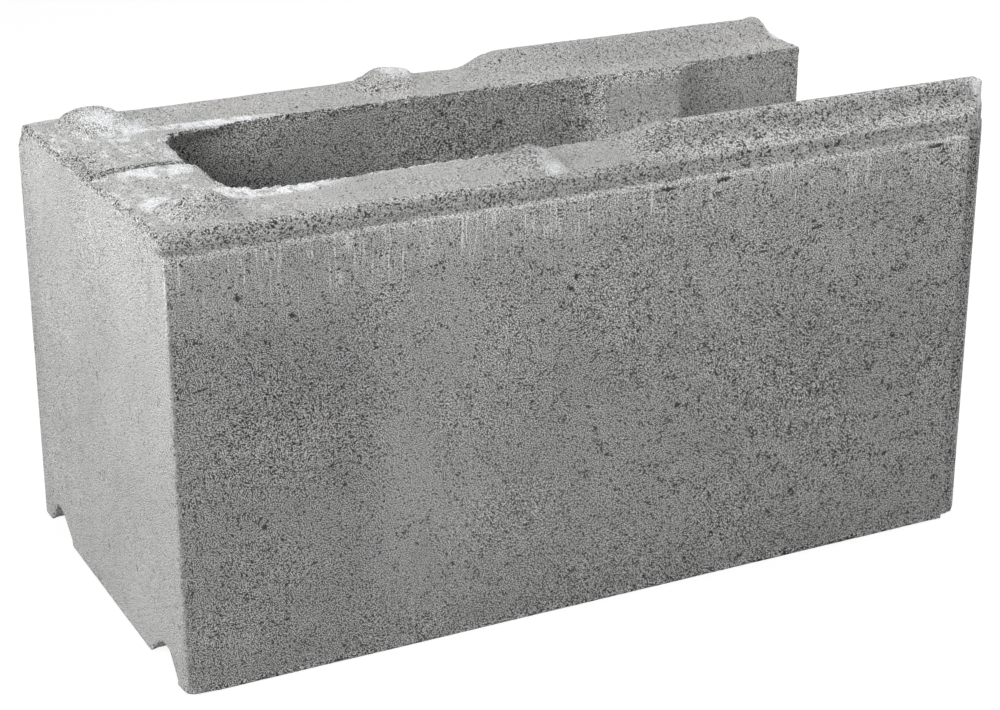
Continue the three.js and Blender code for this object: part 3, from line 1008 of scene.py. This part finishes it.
    def film(self):
        """The pale film of cement on the top."""
        wisps = self.noise(self.levelled, WISP, detail=4.0, roughness=0.7)
        patches = self.most(*(self.blob(self.p, *patch) for patch in PALE_PATCHES))
        patches = self.product(patches, self.ease(wisps, *PATCH_WISPS), self.region(FILM_FACING))
        along_rim = self.product(self.region(RIM_FILM), self.ease(wisps, *RIM_WISPS))
        stray = self.product(self.region(STRAY_FILM), self.ease(wisps, *STRAY_WISPS))
        film = self.most(patches, self.blob(self.p, *MITRE_PATCH), along_rim, stray)
        return self.product(film, self.rest(self.product(self.torn, FILM_TORN_OFF)))

    def broad_tones(self):
        """How pale the casting is in large, painted light and shade included."""
        near_face = self.sum(self.tones(NEAR_FACE_TONES), self.product(self.band, self.tones(BAND_TONES)))
        return self.sum(
            1.0,
            self.product(self.region(NEAR_FACE), near_face),
            self.product(self.end_face, self.tones(END_FACE_TONES)),
            self.product(self.inner, self.tones(INNER_SHADE_AND_TONES)),
            self.product(self.strip, self.tones(STRIP_TONES)),
            self.product(self.tongue, TONGUE_TONE),
            self.tones(FAR_TONGUE_TONES),
            self.product(self.upward, self.tones(TOP_TONES)),
            self.product(self.level_top, self.tones(LEVEL_TONES)),
            self.product(self.blob(self.p, *KNOB_SHADE), KNOB_SHADE_TONE),
            self.product(self.torn, TORN_TONE),
        )

    def base_colour(self):
        """The cement's grey, warmer in clouds."""
        grey = self.mix(self.upward, FACE_GREY, TOP_GREY)
        low_right = self.product(self.region(LOW_RIGHT), WARM_LOW_RIGHT)
        warmth = self.sum(self.product(self.upward, WARM_ON_TOP), low_right)
        return self.mix(self.product(self.ease(self.clouds, *WARM_CLOUDS), warmth), grey, WARM)

    def colour_and_height(self):
        """The finished colour, and the height of the small relief."""
        opened = self.open_skin()
        smooth = self.smooth_skin()
        calm = self.calm_skin(opened, smooth)
        film = self.film()
        void_noise = self.noise(self.p, VOID, roughness=0.55, distortion=0.5)
        light = self.sum(
            1.0,
            self.product(self.grain(calm, opened), self.ease(film, *GRAIN_BY_FILM)),
            self.spread(self.clouds, CLOUD_TONE),
            self.spread(self.drift, DRIFT_TONE),
            self.product(self.streaks(), STREAK_TONE),
        )
        light = self.product(light, self.broad_tones())
        film_share = self.ease(self.knobby, 0.0, 1.0, FLAT_FILM, self.region(KNOB_FILM))
        colour = self.mix(self.product(film, film_share), self.base_colour(), PALE)
        colour = self.mix(1.0, colour, self.join(light, light, light), "MULTIPLY")
        # the pits, voids and cracks get painted shade
        pit_share = self.product(self.pits(calm, opened), self.ease(film, *PIT_DARK_BY_FILM))
        colour = self.mix(pit_share, colour, HOLE_SHADE)
        void_share = self.product(self.voids(void_noise, opened, smooth), VOID_DARK)
        colour = self.mix(void_share, colour, HOLE_SHADE)
        sand_height = self.product(self.sand, self.ease(self.upward, *SAND_RELIEF))
        return colour, self.sum(sand_height, self.ease(void_noise, *VOID_RELIEF))


def concrete_material():
    material = bpy.data.materials.new("dry_cast_concrete")
    material.use_nodes = True
    shader = material.node_tree.nodes["Principled BSDF"]
    concrete = Concrete(material.node_tree)
    colour, height = concrete.colour_and_height()
    concrete.feed(shader.inputs["Base Color"], colour)
    bump = concrete.node("ShaderNodeBump")
    bump.inputs["Strength"].default_value = 1.0
    bump.inputs["Distance"].default_value = RELIEF * MM
    concrete.feed(bump.inputs["Height"], height)
    concrete.feed(shader.inputs["Normal"], bump.outputs[0])
    shader.inputs["Roughness"].default_value = ROUGHNESS
    shader.inputs["Specular IOR Level"].default_value = SPECULAR_LEVEL
    return material


block = dense_block()
block.data.materials.append(concrete_material())
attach(block, "root")
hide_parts("formwork_block")

# ---------------------------------------------------------------- floor and light
FLOOR_SIZE = 12.0
FLOOR_DROP = 0.0004
FLOOR_WHITE = 0.6
FLOOR_GLOW = 1.2
GLOW_SHARE = 0.75
LIT_FROM_ALL_SIDES = 0.2
LAMP_TARGET = (0.0, 0.0, 0.1)


def floor_material():
    """White to the camera, with the block's shadow kept; a plain white matt floor to everything else."""
    material = bpy.data.materials.new("studio_floor")
    material.use_nodes = True
    tree = material.node_tree
    tree.nodes.clear()
    graph = Graph(tree)
    out = graph.node("ShaderNodeOutputMaterial")
    matt = graph.node("ShaderNodeBsdfDiffuse")
    matt.inputs["Color"].default_value = (FLOOR_WHITE, FLOOR_WHITE, FLOOR_WHITE, 1)
    glow = graph.node("ShaderNodeEmission")
    glow.inputs["Strength"].default_value = FLOOR_GLOW
    path = graph.node("ShaderNodeLightPath")
    blend = graph.node("ShaderNodeMixShader")
    graph.feed(blend.inputs[0], graph.product(path.outputs["Is Camera Ray"], GLOW_SHARE))
    graph.feed(blend.inputs[1], matt.outputs[0])
    graph.feed(blend.inputs[2], glow.outputs[0])
    graph.feed(out.inputs[0], blend.outputs[0])
    return material


floor_mesh = bpy.data.meshes.new("studio_floor")
edge = FLOOR_SIZE / 2
corners = [(-edge, -edge, 0), (edge, -edge, 0), (edge, edge, 0), (-edge, edge, 0)]
floor_mesh.from_pydata(corners, [], [(0, 1, 2, 3)])
floor = bpy.data.objects.new("studio_floor", floor_mesh)
floor.location.z = -FLOOR_DROP
bpy.context.scene.collection.objects.link(floor)
floor_mesh.materials.append(floor_material())


def softbox(name, place, size, power):
    """A flat lamp, its size in metres and its power in watts, that looks at the block."""
    data = bpy.data.lights.new(name, "AREA")
    data.shape = "RECTANGLE"
    data.size, data.size_y = size
    data.energy = power
    lamp = bpy.data.objects.new(name, data)
    lamp.location = place
    lamp.rotation_mode = "QUATERNION"
    lamp.rotation_quaternion = (Vector(LAMP_TARGET) - Vector(place)).to_track_quat("-Z", "Y")
    bpy.context.scene.collection.objects.link(lamp)


softbox("softbox_left", place=(-1.6, -0.5, 1.0), size=(0.8, 0.8), power=27.0)
softbox("softbox_right", place=(1.65, 0.3, 1.8), size=(1.2, 2.2), power=45.0)

world = bpy.data.worlds.new("studio")
bpy.context.scene.world = world
world.use_nodes = True
surroundings = Graph(world.node_tree)
sky = world.node_tree.nodes["Background"]
sky.inputs["Color"].default_value = (1, 1, 1, 1)
camera_ray = surroundings.node("ShaderNodeLightPath").outputs["Is Camera Ray"]
surroundings.feed(sky.inputs["Strength"], surroundings.most(camera_ray, LIT_FROM_ALL_SIDES))
bpy.context.scene.view_settings.view_transform = "Standard"

# ---------------------------------------------------------------- camera, as fitted to the photo's edges
CAMERA_PLACE = (-0.56883, -1.07031, 0.56564)
AZIMUTH, DOWN, ROLL = math.radians(24.0655), math.radians(19.7631), math.radians(-1.1907)
PICTURE_PIXELS = (1000, 710)
FOCAL_PIXELS = 2156.8
PRINCIPAL_PIXEL = (370.83, 312.20)
SENSOR_WIDTH = 36.0
SEEN_FROM, SEEN_TO = 0.05, 50.0

camera_data = bpy.data.cameras.new("camera")
camera = bpy.data.objects.new("camera", camera_data)
bpy.context.scene.collection.objects.link(camera)
level = math.cos(DOWN)
ahead = Vector((math.sin(AZIMUTH) * level, math.cos(AZIMUTH) * level, -math.sin(DOWN)))
right = Vector((math.cos(AZIMUTH), -math.sin(AZIMUTH), 0))
above = right.cross(ahead)
rolled_right = math.cos(ROLL) * right + math.sin(ROLL) * above
rolled_up = -math.sin(ROLL) * right + math.cos(ROLL) * above
turn = Matrix((rolled_right, rolled_up, -ahead)).transposed()
camera.matrix_world = Matrix.Translation(CAMERA_PLACE) @ turn.to_4x4()
camera_data.sensor_width = SENSOR_WIDTH
camera_data.lens = FOCAL_PIXELS / PICTURE_PIXELS[0] * SENSOR_WIDTH
camera_data.shift_x = (PICTURE_PIXELS[0] / 2 - PRINCIPAL_PIXEL[0]) / PICTURE_PIXELS[0]
camera_data.shift_y = (PRINCIPAL_PIXEL[1] - PICTURE_PIXELS[1] / 2) / PICTURE_PIXELS[0]
camera_data.clip_start, camera_data.clip_end = SEEN_FROM, SEEN_TO
bpy.context.scene.camera = camera
